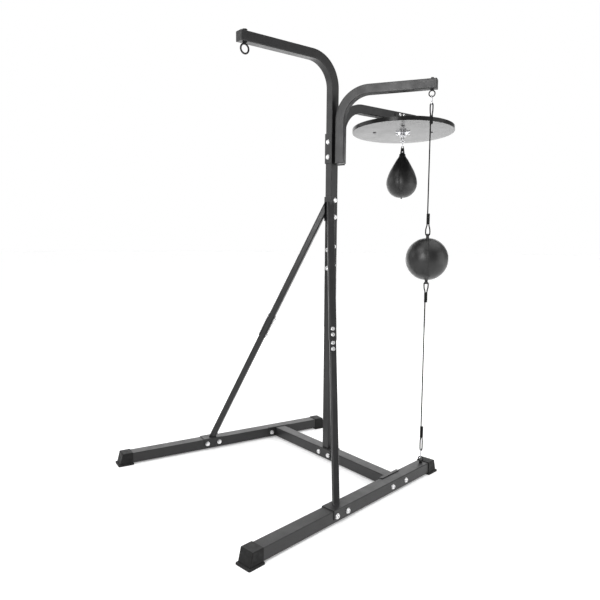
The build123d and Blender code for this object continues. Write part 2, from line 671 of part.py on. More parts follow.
def build():
    parts = {}

    # base
    right, left, centre = base_bolts()
    envelope = rail_envelope()
    eye_hole = line_plane(0) * rod(4.0, 30, 80)
    rail_r = drilled(rail(), right["hole"])
    parts["rail_left"] = mirrored(rail_r)
    parts["rail_right"] = rail_r - eye_hole
    front, back = boots(envelope)
    parts["feet"] = group([front, mirrored(front), back, mirrored(back)])
    saddle_r = drilled(rail_plane(SADDLE_U, 0, RAIL_TOP) * saddle(RAIL_W, SADDLE_LEN, 36.0), right["hole"])
    parts["rail_saddles"] = group([saddle_r, mirrored(saddle_r)])
    bracket_r = drilled(beam_bracket(), right["hole"])
    parts["beam_brackets"] = group([bracket_r, mirrored(bracket_r)])
    parts["cross_beam"] = drilled(beam(), centre["hole"])
    parts["post_saddle"] = drilled(Pos(0, 0, BEAM_TOP) * saddle(BEAM_W, SADDLE_LEN, 36.0), centre["hole"])

    # post and front arm
    splice, head, clamp = post_bolts()
    low = straight_tube(Plane(origin=(0, 0, POST_FOOT), z_dir=(0, 0, 1)), POST_JOINT - POST_FOOT, TUBE, TUBE, TUBE_R, 2.0)
    parts["post_lower"] = drilled(low, splice["hole"])
    inner = Plane(origin=(0, 0, POST_JOINT - SPLICE_HALF), z_dir=(0, 0, 1))
    inner = straight_tube(inner, 2 * SPLICE_HALF, TUBE - 4.2, TUBE - 4.2, 2.9, 2.0)
    parts["post_splice_tube"] = drilled(inner, splice["hole"])
    front_eye = Pos(0, FRONT_EYE_Y, 0)
    high = bent_arm(0, 0, POST_JOINT, FRONT_ARM_Z, -90, FRONT_ARM_END)
    high = drilled(high, splice["hole"] + head["hole"] + clamp["hole"] + [front_eye * rod(6.0, 1990, 2100)])
    parts["post_upper"] = high
    caps = [end_cap(Plane(origin=(0, -FRONT_ARM_END, FRONT_ARM_Z), x_dir=(1, 0, 0), z_dir=(0, -1, 0)))]
    arm_top = FRONT_ARM_Z + TUBE / 2
    arm_low = FRONT_ARM_Z - TUBE / 2
    eye_at = Plane(origin=(0, FRONT_EYE_Y, FRONT_EYE_Z), x_dir=(0, 1, 0), z_dir=(0, 0, 1))
    top = arm_top - FRONT_EYE_Z + 11.5
    parts["front_eye_bolt"] = eye_bolt(eye_at, 20.5, 4.0, 6.0, top, 9.5, 24.0, arm_low - FRONT_EYE_Z)
    nut = rod(13.5, 0, 2.2) + hexagon(22, 2.2, 10.0) - rod(6.0, -1, 20)
    eye_nuts = [Pos(0, FRONT_EYE_Y, arm_top) * nut]

    # bracket with the two other arms
    parts["arm_bracket"] = drilled(arm_bracket(), clamp["hole"])
    side_eye = line_plane(0)
    side = bent_arm(SIDE_FOOT[0], SIDE_FOOT[1], BRACKET_Z[0], SIDE_ARM_Z, SIDE_TURN, SIDE_ARM_END)
    parts["side_arm"] = side - side_eye * rod(4.0, 1800, 1950)
    hanger = hanger_bolts()
    rear = bent_arm(0, REAR_FOOT_Y, BRACKET_Z[0], REAR_ARM_Z, 90, REAR_ARM_END - REAR_FOOT_Y)
    parts["rear_arm"] = drilled(rear, hanger["hole"])
    d = Vector(*turned(SIDE_TURN))
    tip = Vector(SIDE_FOOT[0], SIDE_FOOT[1], SIDE_ARM_Z) + d * SIDE_ARM_END
    caps.append(end_cap(Plane(origin=tip, x_dir=(0, 0, 1), z_dir=d)))
    caps.append(end_cap(Plane(origin=(0, REAR_ARM_END, REAR_ARM_Z), x_dir=(0, 0, 1), z_dir=(0, 1, 0))))
    for x, y, t in ((SIDE_FOOT[0], SIDE_FOOT[1], SIDE_TURN), (0, REAR_FOOT_Y, 90)):
        caps.append(end_cap(Plane(origin=(x, y, BRACKET_Z[0]), x_dir=turned(t), z_dir=(0, 0, -1))))
    parts["tube_caps"] = group(caps)
    side_top = SIDE_ARM_Z + TUBE / 2
    side_low = SIDE_ARM_Z - TUBE / 2
    eye = line_plane(SIDE_EYE_Z)
    shank_top = side_top - SIDE_EYE_Z + 8.5
    parts["side_eye_bolt"] = eye_bolt(eye, SIDE_RING_R, EYE_BAR, 4.0, shank_top, 7.5, 16.3, side_low - SIDE_EYE_Z)
    eye_nuts.append(line_plane(side_top) * (rod(9.5, 0, 1.6) + hexagon(13, 1.6, 7.8) - rod(4.0, -1, 20)))
    parts["eye_bolt_nuts"] = group(eye_nuts)
    low_eye = Plane(origin=(LINE_X, LINE_Y, RAIL_EYE_Z), x_dir=turned(SIDE_TURN), z_dir=(0, 0, -1))
    drop = RAIL_EYE_Z - RAIL_TOP
    parts["rail_eye_bolt"] = eye_bolt(low_eye, RAIL_RING_R, EYE_BAR, 4.0, drop + 22, 8.5, 13.6, drop)

    # braces
    parts["head_bracket"] = drilled(head_bracket(), head["hole"])
    plates, brace_set = splice_parts()
    upper = drilled(brace_upper(), brace_set["hole"])
    lower = drilled(brace_lower(), brace_set["hole"])
    plates = [drilled(p, brace_set["hole"]) for p in plates]
    parts["brace_upper_right"] = upper
    parts["brace_upper_left"] = mirrored(upper)
    parts["brace_lower_right"] = lower
    parts["brace_lower_left"] = mirrored(lower)
    parts["brace_splice_plates"] = group(plates + mirrored_group(plates))
    brace_left = mirrored_set(brace_set)

    # board, hanger, swivel
    bolts, nuts, holes = board_bolts()
    sw = swivel()
    parts["board"] = drilled(board(), holes + sw["base_holes"])
    parts["board_hanger"] = drilled(board_hanger(), holes + hanger["hole"])
    parts["board_bolts"] = group(bolts)
    parts["swivel_base"] = sw["base"]
    parts["swivel_housing"] = sw["housing"]
    parts["swivel_keeper"] = sw["keeper"]
    parts["swivel_screws"] = group(sw["base_screws"] + sw["keeper_screws"])
    parts["swivel_hook"] = sw["hook"]

    # speed bag
    bag = speed_bag()
    parts["bag_link"] = bag["link"]
    parts["bag_tab"] = bag["tab"]
    parts["bag_eyelet"] = bag["eyelet"]
    parts["bag_collar"] = bag["collar"]
    parts["bag_shell"] = bag["shell"]
    parts["bag_bladder"] = bag["bladder"]
    parts["bag_valve"] = bag["valve"]

    # double-end ball
    de = double_end()
    parts["upper_hook"] = de["upper_hook"]
    parts["upper_hook_gate"] = de["upper_gate"]
    parts["lower_hook"] = de["lower_hook"]
    parts["lower_hook_gate"] = de["lower_gate"]
    parts["upper_cord"] = de["upper_cord"]
    parts["ball_loop"] = group(de["ball_loop"])
    parts["ball_sleeves"] = group(de["upper_sleeves"] + [de["ball_loop_sleeve"]])
    parts["lower_cord"] = de["lower_cord"]
    parts["lower_sleeve"] = de["lower_sleeve"]
    parts["ball_shell"] = de["shell"]
    parts["ball_bladder"] = de["bladder"]
    parts["ball_valve"] = de["valve"]
    parts["ball_lugs"] = group([de["lug_top"], de["lug_bottom"]])

    # fasteners that come from the same packets
    large = merged([right, left, centre, splice, head, clamp])
    small = merged([brace_set, brace_left, hanger])
    small["nut"] += nuts
    for key in ("bolt", "washer", "nut"):
        parts["m10_" + key + "s"] = group(large[key])
        parts["m8_" + key + "s"] = group(small[key])
    return parts


def write(parts):
    os.makedirs("parts", exist_ok=True)
    solids = {name: part if isinstance(part, list) else part.solids() for name, part in parts.items()}
    boxes = [s.bounding_box() for found in solids.values() for s in found]
    x = (min(b.min.X for b in boxes) + max(b.max.X for b in boxes)) / 2
    y = (min(b.min.Y for b in boxes) + max(b.max.Y for b in boxes)) / 2
    z = min(b.min.Z for b in boxes)
    print("shift", round(-x, 3), round(-y, 3), round(-z, 3), "nodes", len(parts))
    for name, found in solids.items():
        moved = [Pos(-x, -y, -z) * s for s in found]
        export_step(moved[0] if len(moved) == 1 else Compound(children=moved), os.path.join("parts", name + ".step"))


write(build())
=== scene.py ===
import json
import math

import bpy
from mathutils import Matrix, Vector


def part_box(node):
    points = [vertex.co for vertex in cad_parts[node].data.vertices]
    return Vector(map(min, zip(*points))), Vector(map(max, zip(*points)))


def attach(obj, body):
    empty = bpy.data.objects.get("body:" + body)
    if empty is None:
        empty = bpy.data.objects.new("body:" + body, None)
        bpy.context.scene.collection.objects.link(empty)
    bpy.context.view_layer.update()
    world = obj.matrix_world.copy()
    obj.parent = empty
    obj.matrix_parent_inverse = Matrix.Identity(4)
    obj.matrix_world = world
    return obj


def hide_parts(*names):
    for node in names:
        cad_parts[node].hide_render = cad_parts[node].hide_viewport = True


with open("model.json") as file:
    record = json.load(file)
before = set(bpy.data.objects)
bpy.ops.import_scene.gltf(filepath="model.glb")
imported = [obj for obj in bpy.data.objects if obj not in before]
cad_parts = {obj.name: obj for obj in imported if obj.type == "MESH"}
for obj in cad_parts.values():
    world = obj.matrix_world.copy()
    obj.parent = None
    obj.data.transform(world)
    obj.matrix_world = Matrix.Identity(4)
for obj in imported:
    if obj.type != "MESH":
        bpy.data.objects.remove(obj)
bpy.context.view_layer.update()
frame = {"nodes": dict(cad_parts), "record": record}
nodes = frame["nodes"]

BAG_AXIS = (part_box("bag_shell")[0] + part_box("bag_shell")[1]) / 2
BALL = (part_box("ball_shell")[0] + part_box("ball_shell")[1]) / 2

# turns about the vertical: of the double-end line's plane, and of the speed bag's tab
SIDE_TURN = math.radians(30.417)
BAG_TURN = math.radians(42.0)

# azimuth, downward pitch and roll in degrees, place in metres, focal length in millimetres
CAMERA_ANGLES = (51.564, 6.410, 0.392)
CAMERA_PLACE = (2.2418, -1.9155, 1.1815)
CAMERA_LENS = 34.92

# darkest and lightest base colour of each leather
BAG_COLOURS = ((0.002, 0.002, 0.002), (0.004, 0.004, 0.0042))
BALL_COLOURS = ((0.004, 0.004, 0.004), (0.008, 0.008, 0.008))

# braided cord: radius and length of one turn of the braid in metres, strands each way round
CORD_RADIUS = 0.0029
BRAID_PITCH = 0.012
BRAID_STRANDS = 8

# double-end line in millimetres: heights of the two eyes, from an eye to the far end of its hook,
# what the hook's bar, the cord and a gap take up there, ball's centre to a lug's root, root to the
# lug's hole, and each doubled strand's distance from the line's axis
TOP_EYE = 1821.2
LOW_EYE = 91.4
HOOK_REACH = 36.9
HOOK_NIP = 2.0 + 2.9 + 0.4
LUG_ROOT = 98.8
LUG_HOLE = 14.5
STRAND = 3.0

# radius and height of the speed bag's outline, bottom to top, in millimetres
BAG_OUTLINE = [
    (0.0, 1390.0), (16.0, 1391.4), (31.5, 1395.0), (44.5, 1401.0), (55.5, 1408.5), (66.0, 1419.5),
    (74.0, 1431.0), (80.6, 1447.5), (84.0, 1465.0), (83.2, 1482.5), (79.8, 1499.5), (73.3, 1518.0),
    (65.3, 1537.0), (56.6, 1553.5), (47.6, 1570.0), (38.9, 1584.5), (31.2, 1598.0), (24.8, 1606.8),
    (20.0, 1614.0), (16.5, 1623.0), (10.0, 1623.9), (0.0, 1624.0),
]


# ---------------------------------------------------------------- camera, light, floor

def make_camera():
    azimuth, pitch, roll = (math.radians(a) for a in CAMERA_ANGLES)
    level = math.cos(pitch)
    look = Vector((-math.sin(azimuth) * level, math.cos(azimuth) * level, -math.sin(pitch)))
    right = Vector((math.cos(azimuth), math.sin(azimuth), 0))
    up = right.cross(look)
    rolled_right = right * math.cos(roll) + up * math.sin(roll)
    rolled_up = up * math.cos(roll) - right * math.sin(roll)
    data = bpy.data.cameras.new("camera")
    data.lens = CAMERA_LENS
    data.sensor_width = 36.0
    camera = bpy.data.objects.new("camera", data)
    bpy.context.scene.collection.objects.link(camera)
    turn = Matrix((rolled_right, rolled_up, -look)).transposed().to_4x4()
    camera.matrix_world = Matrix.Translation(CAMERA_PLACE) @ turn
    bpy.context.scene.camera = camera


def sun(name, azimuth, height, power, spread):
    """Soft sun from that azimuth (0 is +X, 90 is +Y) and height, in degrees."""
    data = bpy.data.lights.new(name, "SUN")
    data.energy = power
    data.angle = math.radians(spread)
    light = bpy.data.objects.new(name, data)
    bpy.context.scene.collection.objects.link(light)
    a, h = math.radians(azimuth), math.radians(height)
    toward = Vector((math.cos(a) * math.cos(h), math.sin(a) * math.cos(h), math.sin(h)))
    light.rotation_euler = toward.to_track_quat("Z", "Y").to_euler()


def panel(name, azimuth, distance, height, size, radiance):
    """Upright light panel at that azimuth and distance, facing the object."""
    data = bpy.data.lights.new(name, "AREA")
    data.shape = "RECTANGLE"
    data.size, data.size_y = size
    data.energy = radiance * math.pi * size[0] * size[1]
    light = bpy.data.objects.new(name, data)
    bpy.context.scene.collection.objects.link(light)
    a = math.radians(azimuth)
    toward = Vector((math.cos(a), math.sin(a), 0))
    light.location = toward * distance + Vector((0, 0, height))
    light.rotation_euler = toward.to_track_quat("Z", "Y").to_euler()


def emission(name, strength):
    material = bpy.data.materials.new(name)
    material.use_nodes = True
    tree = material.node_tree
    tree.nodes.clear()
    shader = tree.nodes.new("ShaderNodeEmission")
    shader.inputs["Strength"].default_value = strength
    out = tree.nodes.new("ShaderNodeOutputMaterial")
    tree.links.new(shader.outputs["Emission"], out.inputs["Surface"])
    return material


def make_studio():
    world = bpy.data.worlds.new("studio")
    world.use_nodes = True
    world.node_tree.nodes["Background"].inputs["Color"].default_value = (1, 1, 1, 1)
    world.node_tree.nodes["Background"].inputs["Strength"].default_value = 0.32
    bpy.context.scene.world = world
    sun("key", -95, 50, 0.8, 30)
    sun("top", 60, 74, 1.2, 70)
    panel("softbox", -64, 3.3, 2.1, (1.0, 1.7), 11.5)
    panel("back_wall", 140, 4.6, 1.9, (7.0, 3.4), 1.2)
    panel("left_wall", -146, 4.2, 2.6, (3.2, 2.4), 1.6)
    panel("right_wall", 34, 4.2, 1.6, (3.2, 3.2), 1.35)
    bpy.ops.mesh.primitive_circle_add(vertices=96, radius=40, fill_type="NGON", location=(0, 0, -0.0004))
    floor = bpy.context.object
    floor.name = "floor"
    paint = Paint("floor_paint", (0.93, 0.93, 0.93), 0.6)
    paint.tint((0.9, 0.9, 0.9), (0.95, 0.95, 0.95), paint.noise(2.0, 3))
    paint.shader.inputs["Emission Color"].default_value = (1, 1, 1, 1)
    paint.shader.inputs["Emission Strength"].default_value = 0.25
    floor.data.materials.append(paint.material)
    floor.visible_diffuse = False
    bpy.ops.mesh.primitive_uv_sphere_add(segments=48, ring_count=24, radius=38)
    backdrop = bpy.context.object
    backdrop.name = "backdrop"
    backdrop.data.materials.append(emission("backdrop_white", 1.0))
    backdrop.visible_diffuse = False
    backdrop.visible_glossy = False
    backdrop.visible_shadow = False
    backdrop.visible_transmission = False


# ---------------------------------------------------------------- materials

class Paint:
    """A principled material with small helpers for procedural detail in object space."""

    def __init__(self, name, colour, roughness, metallic=0.0):
        self.material = bpy.data.materials.new(name)
        self.material.use_nodes = True
        self.tree = self.material.node_tree
        self.shader = self.tree.nodes["Principled BSDF"]
        self.shader.inputs["Base Color"].default_value = (*colour, 1)
        self.shader.inputs["Roughness"].default_value = roughness
        self.shader.inputs["Metallic"].default_value = metallic
        self.coords = self.tree.nodes.new("ShaderNodeTexCoord")
        self.last_bump = None

    def link(self, a, b):
        self.tree.links.new(a, b)

    def mapped(self, scale=(1, 1, 1)):
        node = self.tree.nodes.new("ShaderNodeMapping")
        node.inputs["Scale"].default_value = scale
        self.link(self.coords.outputs["Object"], node.inputs["Vector"])
        return node.outputs["Vector"]

    def noise(self, scale, detail=2.0, stretch=(1, 1, 1), rough=0.5):
        node = self.tree.nodes.new("ShaderNodeTexNoise")
        node.inputs["Scale"].default_value = scale
        node.inputs["Detail"].default_value = detail
        node.inputs["Roughness"].default_value = rough
        self.link(self.mapped(stretch), node.inputs["Vector"])
        return node.outputs["Fac"]

    def cells(self, scale, stretch=(1, 1, 1), feature="F1"):
        node = self.tree.nodes.new("ShaderNodeTexVoronoi")
        node.feature = feature
        node.inputs["Scale"].default_value = scale
        self.link(self.mapped(stretch), node.inputs["Vector"])
        return node.outputs["Distance"]

    def ramp(self, value, low, high, out_low=0.0, out_high=1.0):
        node = self.tree.nodes.new("ShaderNodeMapRange")
        node.inputs["From Min"].default_value = low
        node.inputs["From Max"].default_value = high
        node.inputs["To Min"].default_value = out_low
        node.inputs["To Max"].default_value = out_high
        self.link(value, node.inputs["Value"])
        return node.outputs["Result"]

    def math(self, kind, a, b):
        node = self.tree.nodes.new("ShaderNodeMath")
        node.operation = kind
        for socket, value in zip(node.inputs, (a, b)):
            if isinstance(value, (int, float)):
                socket.default_value = value
            else:
                self.link(value, socket)
        return node.outputs["Value"]

    def blend(self, a, b, factor):
        node = self.tree.nodes.new("ShaderNodeMix")
        node.data_type = "RGBA"
        for socket, value in ((node.inputs[6], a), (node.inputs[7], b)):
            if isinstance(value, tuple):
                socket.default_value = (*value, 1)
            else:
                self.link(value, socket)
        self.link(factor, node.inputs[0])
        return node.outputs[2]

    def tint(self, a, b, factor):
        colour = self.blend(a, b, factor)
        self.link(colour, self.shader.inputs["Base Color"])
        return colour

    def shine(self, value, low, high, a=0.3, b=0.7):
        self.link(self.ramp(value, a, b, low, high), self.shader.inputs["Roughness"])

    def bump(self, height, distance, strength=1.0):
        node = self.tree.nodes.new("ShaderNodeBump")
        node.inputs["Distance"].default_value = distance
        node.inputs["Strength"].default_value = strength
        self.link(height, node.inputs["Height"])
        if self.last_bump:
            self.link(self.last_bump, node.inputs["Normal"])
        self.last_bump = node.outputs["Normal"]
        self.link(self.last_bump, self.shader.inputs["Normal"])

    def rims(self, radius):
        """1 on edges and rounded corners up to that radius, 0 on flat faces."""
        node = self.tree.nodes.new("ShaderNodeBevel")
        node.samples = 4
        node.inputs["Radius"].default_value = radius
        plain = self.tree.nodes.new("ShaderNodeNewGeometry")
        dot = self.tree.nodes.new("ShaderNodeVectorMath")
        dot.operation = "DOT_PRODUCT"
        self.link(node.outputs["Normal"], dot.inputs[0])
        self.link(plain.outputs["True Normal"], dot.inputs[1])
        return self.ramp(dot.outputs["Value"], 0.99, 0.9, 0.0, 1.0)

    def facing(self, axis):
        """Object-space normal component, -1 to 1."""
        node = self.tree.nodes.new("ShaderNodeSeparateXYZ")
        self.link(self.coords.outputs["Normal"], node.inputs["Vector"])
        return node.outputs[axis]


def powder_coat():
    p = Paint("powder_coat", (0.03, 0.03, 0.032), 0.42)
    p.shader.inputs["Specular IOR Level"].default_value = 0.45
    worn = p.math("MULTIPLY", p.ramp(p.noise(7.0, 6), 0.45, 0.75), p.ramp(p.noise(95.0, 3), 0.4, 0.8))
    base = p.blend((0.008, 0.008, 0.0085), (0.014, 0.014, 0.0145), p.noise(11.0, 4))
    # upward faces lighter: painted top light, in noisy patches
    painted_top_light = p.ramp(p.facing("Z"), 0.75, 1.0, 0.0, 0.25)
    painted_top_light = p.math("MULTIPLY", painted_top_light, p.ramp(p.noise(16.0, 5), 0.2, 0.8, 0.5, 1.0))
    base = p.blend(base, (0.075, 0.075, 0.076), painted_top_light)
    base = p.blend(base, (0.022, 0.022, 0.023), worn)
    # lighter edges and rounded corners: painted edge highlight, broken up by noise
    painted_edge_highlight = p.math("MULTIPLY", p.rims(0.003), p.ramp(p.noise(60.0, 4), 0.3, 0.7, 0.35, 0.9))
    p.tint(base, (0.05, 0.05, 0.052), painted_edge_highlight)
    p.shine(p.noise(24.0, 5), 0.3, 0.42)
    p.bump(p.noise(950.0, 2), 0.00018, 0.7)
    p.bump(p.noise(240.0, 1), 0.0001, 0.5)
    return p.material


def dark_steel():
    p = Paint("black_steel", (0.02, 0.02, 0.02), 0.4)
    p.shader.inputs["Specular IOR Level"].default_value = 0.3
    p.tint((0.003, 0.003, 0.003), (0.012, 0.012, 0.0125), p.ramp(p.noise(180.0, 5), 0.45, 0.8))
    p.shine(p.noise(140.0, 4), 0.32, 0.48)
    p.bump(p.noise(700.0, 2), 0.00012, 0.5)
    return p.material


def zinc():
    p = Paint("zinc", (0.78, 0.78, 0.79), 0.25, 1.0)
    p.tint((0.62, 0.62, 0.64), (0.86, 0.86, 0.85), p.noise(260.0, 4))
    p.shine(p.noise(420.0, 3), 0.16, 0.36)
    p.bump(p.noise(1500.0, 2), 0.00006, 0.6)
    return p.material


def bright_steel():
    p = Paint("bright_steel", (0.82, 0.82, 0.84), 0.14, 1.0)
    p.tint((0.5, 0.5, 0.52), (0.72, 0.72, 0.74), p.noise(160.0, 4))
    p.shine(p.noise(320.0, 3), 0.08, 0.24)
    p.bump(p.noise(1100.0, 2), 0.00004, 0.5)
    return p.material


def rubber():
    p = Paint("foot_rubber", (0.02, 0.02, 0.02), 0.62)
    p.shader.inputs["Specular IOR Level"].default_value = 0.28
    base = p.blend((0.003, 0.003, 0.003), (0.008, 0.008, 0.0078), p.noise(30.0, 5))
    # upward faces lighter: painted top light, in noisy patches
    patches = p.ramp(p.noise(18.0, 5), 0.2, 0.8, 0.4, 0.8)
    painted_top_light = p.math("MULTIPLY", p.ramp(p.facing("Z"), 0.7, 1.0), patches)
    p.tint(base, (0.04, 0.04, 0.04), painted_top_light)
    p.shine(p.noise(60.0, 4), 0.5, 0.74)
    p.bump(p.cells(1300.0), 0.0001, 0.6)
    p.bump(p.noise(320.0, 3), 0.0002, 0.4)
    return p.material


def cap_plastic():
    p = Paint("cap_plastic", (0.03, 0.03, 0.03), 0.5)
    p.tint((0.006, 0.006, 0.006), (0.013, 0.013, 0.013), p.noise(60.0, 4))
    p.shine(p.noise(80.0, 4), 0.4, 0.6)
    p.bump(p.cells(1100.0), 0.0001, 0.5)
    return p.material


def sleeve_plastic():
    p = Paint("sleeve_plastic", (0.01, 0.01, 0.01), 0.55)
    p.shader.inputs["Specular IOR Level"].default_value = 0.15
    p.tint((0.002, 0.002, 0.002), (0.005, 0.005, 0.005), p.noise(90.0, 4))
    p.shine(p.noise(150.0, 4), 0.45, 0.65)
    p.bump(p.noise(1300.0, 2), 0.00006, 0.5)
    return p.material


def dull_bolt():
    p = Paint("dull_bolt", (0.1, 0.1, 0.1), 0.5)
    p.tint((0.1, 0.1, 0.102), (0.16, 0.16, 0.163), p.noise(300.0, 4))
    p.shine(p.noise(420.0, 3), 0.42, 0.6)
    p.bump(p.noise(1500.0, 2), 0.00006, 0.6)
    return p.material


def board_coat():
    p = Paint("board_coat", (0.4, 0.4, 0.4), 0.3)
    p.shader.inputs["Specular IOR Level"].default_value = 0.2
    # downward faces light grey: the board's own light underside, brightened further by painted bounce
    # light from the floor; other faces keep the dark rim colour
    underside_and_painted_bounce = p.blend((0.078, 0.078, 0.08), (0.087, 0.087, 0.089), p.noise(5.0, 6))
    underside_and_painted_bounce = p.blend(underside_and_painted_bounce, (0.065, 0.065, 0.067), p.ramp(p.noise(260.0, 3), 0.55, 0.8, 0.0, 0.3))
    rim = p.blend((0.012, 0.012, 0.012), (0.02, 0.02, 0.02), p.noise(40.0, 4))
    p.tint(rim, underside_and_painted_bounce, p.ramp(p.facing("Z"), -0.75, -0.6, 1.0, 0.0))
    p.shine(p.noise(14.0, 5), 0.2, 0.26)
    p.bump(p.noise(620.0, 3), 0.00001, 0.3)
    return p.material


def leather(name, colours, rough, grain):
    dark, light = colours
    p = Paint(name, dark, 0.4)
    p.tint(dark, light, p.noise(28.0, 5))
    p.shine(p.noise(70.0, 5), rough[0], rough[1])
    p.shader.inputs["Coat Weight"].default_value = 0.12
    p.shader.inputs["Coat Roughness"].default_value = 0.3
    p.bump(p.cells(grain), 0.00022, 0.55)
    p.bump(p.noise(grain * 2.3, 3), 0.0001, 0.5)
    p.bump(p.noise(45.0, 3), 0.0006, 0.3)
    return p.material


def strap_leather():
    p = Paint("strap_leather", (0.003, 0.003, 0.003), 0.6)
    p.shader.inputs["Specular IOR Level"].default_value = 0.15
    p.tint((0.0015, 0.0015, 0.0015), (0.004, 0.004, 0.004), p.noise(60.0, 4))
    p.shine(p.noise(120.0, 4), 0.5, 0.7)
    p.bump(p.cells(1100.0), 0.00015, 0.5)
    return p.material


def thread():
    p = Paint("thread", (0.05, 0.05, 0.05), 0.6)
    p.tint((0.01, 0.01, 0.01), (0.03, 0.03, 0.03), p.noise(900.0, 2))
    p.bump(p.noise(2600.0, 2), 0.0001, 0.8)
    return p.material


def braid():
    """Braided sleeve: the U map runs round the cord and the V map along it, in turns of the braid."""
    p = Paint("braid", (0.018, 0.018, 0.018), 0.7)
    p.shader.inputs["Specular IOR Level"].default_value = 0.0
    split = p.tree.nodes.new("ShaderNodeSeparateXYZ")
    p.link(p.coords.outputs["UV"], split.inputs["Vector"])
    u, v = split.outputs["X"], split.outputs["Y"]
    one = p.math("SINE", p.math("MULTIPLY", p.math("ADD", u, v), BRAID_STRANDS * math.pi), 0)
    two = p.math("SINE", p.math("MULTIPLY", p.math("SUBTRACT", u, v), BRAID_STRANDS * math.pi), 0)
    weave = p.math("MAXIMUM", one, two)
    # darker where the weave is low: painted shade in the grooves between strands
    p.tint((0.002, 0.002, 0.002), (0.008, 0.008, 0.008), p.ramp(weave, 0.0, 1.0))
    p.shine(p.noise(600.0, 2), 0.6, 0.8)
    p.bump(weave, 0.0003, 0.8)
    p.bump(p.noise(3000.0, 2), 0.00008, 0.6)
    return p.material


# ---------------------------------------------------------------- carried-over CAD nodes

def smooth_edges(obj, bevel):
    for face in obj.data.polygons:
        face.use_smooth = True
    weld = obj.modifiers.new("weld", "WELD")
    weld.merge_threshold = 0.000002
    if bevel:
        edge = obj.modifiers.new("bevel", "BEVEL")
        edge.width = bevel
        edge.segments = 2
        edge.limit_method = "ANGLE"
        edge.angle_limit = math.radians(40)
    split = obj.modifiers.new("split", "EDGE_SPLIT")
    split.split_angle = math.radians(32)
    flats = obj.modifiers.new("flats", "WEIGHTED_NORMAL")
    flats.mode = "FACE_AREA_WITH_ANGLE"
    flats.weight = 90


BEVELS = {
    "arm_bracket": 0.0006, "head_bracket": 0.0006, "post_saddle": 0.0006, "rail_saddles": 0.0006,
    "beam_brackets": 0.0006, "brace_splice_plates": 0.0005, "board_hanger": 0.0007, "m10_nuts": 0.0005,
    "m8_nuts": 0.0004, "m10_washers": 0.0003, "m8_washers": 0.0003, "eye_bolt_nuts": 0.0005,
    "swivel_base": 0.0006, "swivel_keeper": 0.0005,
}


def dress_frame():
    slots = {s["node"]: s["material_slot"] for s in frame["record"]["subparts"]}
    looks = {
        "black_powder_coat": powder_coat(), "black_rubber": rubber(), "black_plastic": cap_plastic(),
        "black_steel": dark_steel(), "zinc_steel": zinc(), "polished_steel": bright_steel(),
        "coated_board": board_coat(), "bladder_rubber": rubber(), "crimp_sleeve": sleeve_plastic(),
        "bag_leather": leather("bag_leather", BAG_COLOURS, (0.36, 0.46), 850.0),
        "ball_leather": leather("ball_leather", BALL_COLOURS, (0.32, 0.42), 900.0),
        "strap_leather": strap_leather(),
        "braided_cord": braid(), "thread": thread(),
    }
    special = {"board_bolts": dull_bolt()}
    for name, obj in nodes.items():
        obj.data.materials.clear()
        obj.data.materials.append(special.get(name) or looks[slots[name]])
        smooth_edges(obj, BEVELS.get(name, 0.0))
    return looks


# ---------------------------------------------------------------- mesh helpers

def mesh_piece(name, verts, faces, material, body, slot, uvs=None):
    data = bpy.data.meshes.new(name)
    data.from_pydata(verts, [], faces)
    data.validate()
    if uvs:
        layer = data.uv_layers.new(name="UVMap")
        for loop in data.loops:
            layer.data[loop.index].uv = uvs[loop.index]
    for face in data.polygons:
        face.use_smooth = True
    data.materials.append(material)
    obj = bpy.data.objects.new(name, data)
    bpy.context.scene.collection.objects.link(obj)
    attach(obj, body)
    return obj


def tube_sides(rings, n):
    """Quads between neighbouring rings of n points."""
    faces = []
    for i in range(rings - 1):
        for j in range(n):
            k = (j + 1) % n
            faces.append((i * n + j, i * n + k, (i + 1) * n + k, (i + 1) * n + j))
    return faces


def tube_faces(rings, n):
    """The sides and the two end faces."""
    end = (rings - 1) * n
    caps = [tuple(reversed(range(n))), tuple(end + j for j in range(n))]
    return tube_sides(rings, n) + caps


def capsule(verts, faces, a, b, out, radius, flat=0.6):
    """A small stitch from a to b, flattened against the surface whose normal is out."""
    along = (b - a).normalized()
    side = along.cross(out).normalized()
    steps = [(0.0, 0.35), (0.12, 0.8), (0.5, 1.0), (0.88, 0.8), (1.0, 0.35)]
    first = len(verts)
    for t, k in steps:
        lift = math.sin(math.pi * t) * radius * 0.5
        centre = a.lerp(b, t) + out * lift
        for j in range(6):
            angle = math.tau * j / 6
            across = side * (radius * k * math.cos(angle))
            verts.append(centre + across + out * (radius * k * flat * math.sin(angle)))
    faces.extend(tuple(first + v for v in face) for face in tube_faces(len(steps), 6))


def hump(x, middle, width):
    return math.exp(-(((x - middle) / width) ** 2))


